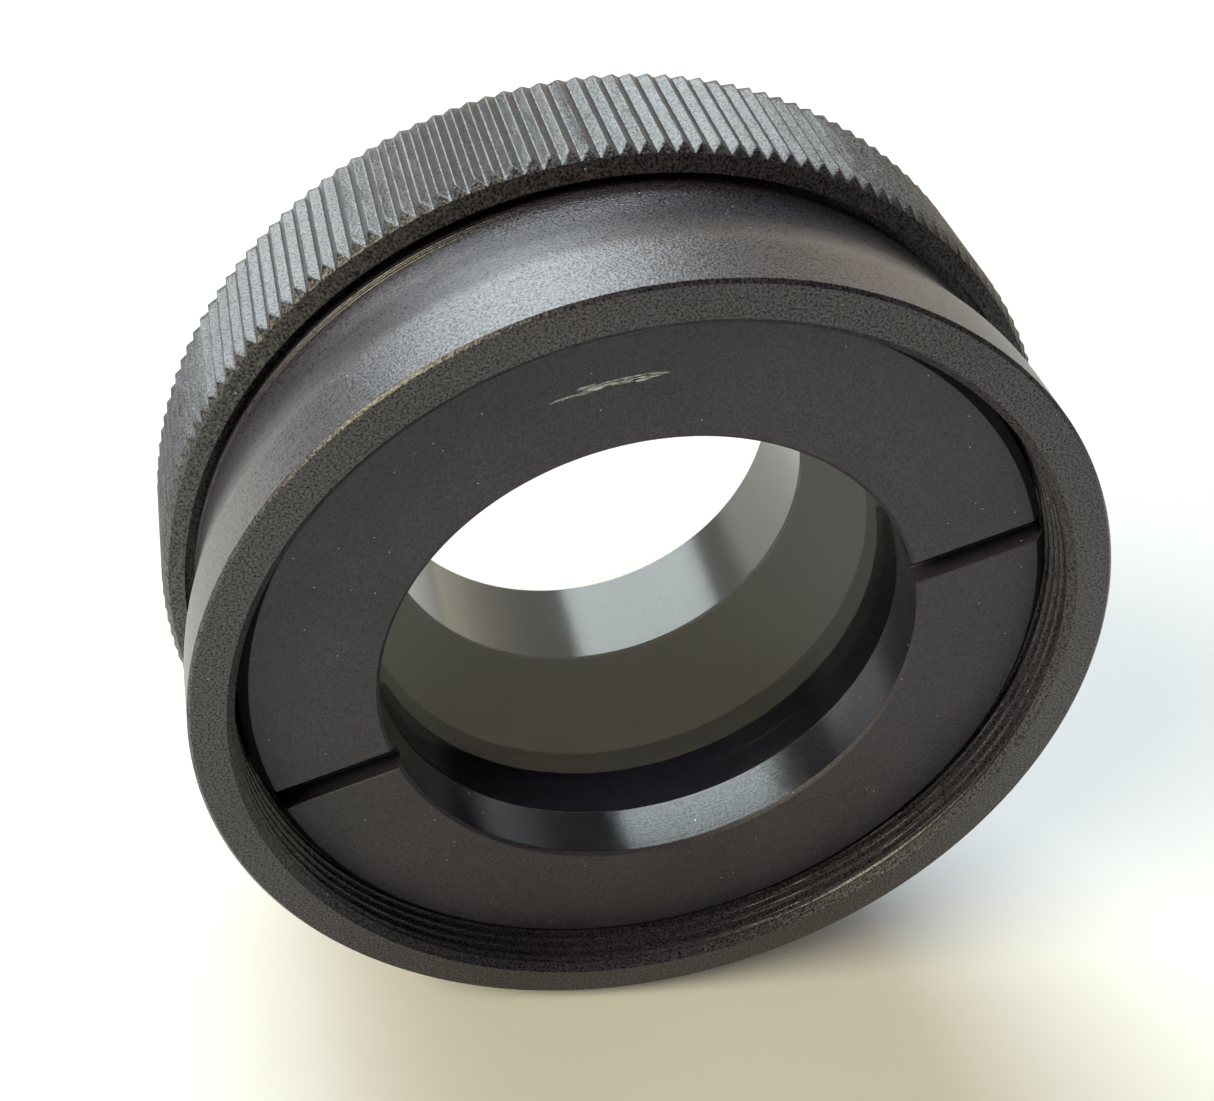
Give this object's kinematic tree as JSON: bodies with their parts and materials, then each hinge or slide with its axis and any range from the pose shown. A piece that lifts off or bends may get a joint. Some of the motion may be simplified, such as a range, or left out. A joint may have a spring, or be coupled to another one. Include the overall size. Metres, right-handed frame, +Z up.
{
  "type": "screw-on window cell",
  "caption": "Knurled screw-on optical cell of the Barlow type with a flat window held by a slotted retaining ring and a male mounting thread behind.",
  "frame": {"origin": "on the surface the object stands on, under the middle of its length; the optical axis is 27.0 mm above it", "axes": "+Y along the optical axis from the open front to the mounting thread, +Z up with the object standing on its knurl, +X to the right seen from the front"},
  "size_m": [0.054, 0.0272, 0.054],
  "materials": {
    "knurl_anodised": "black anodised straight knurl, fine grain",
    "satin_anodised": "black anodised, blasted satin",
    "matte_anodised": "black anodised, matte face with a glossy bore",
    "clear_glass": "polished, uncoated"
  },
  "bodies": {
    "knurled_mount": {"knurled_mount": "knurl_anodised"},
    "lens_cell": {"lens_cell": "satin_anodised"},
    "window_glass": {"window_glass": "clear_glass"},
    "retaining_ring": {"retaining_ring": "matte_anodised"}
  },
  "joints": [
    {"name": "cell_out", "type": "slide", "parent": "knurled_mount", "child": "lens_cell", "axis": [0, -1, 0], "range_m": [0, 0.008]},
    {"name": "window_out", "type": "slide", "parent": "lens_cell", "child": "window_glass", "axis": [0, -1, 0], "range_m": [0, 0.0076]},
    {"name": "ring_turn", "type": "hinge", "parent": "window_glass", "child": "retaining_ring", "pos_m": [0, -0.009, 0.027], "axis": [0, -1, 0], "range_deg": [0, 3600]}
  ],
  "couplings": [
    {"joint": "window_out", "follows": "ring_turn", "m_per_rad": 0.00011937}
  ]
}
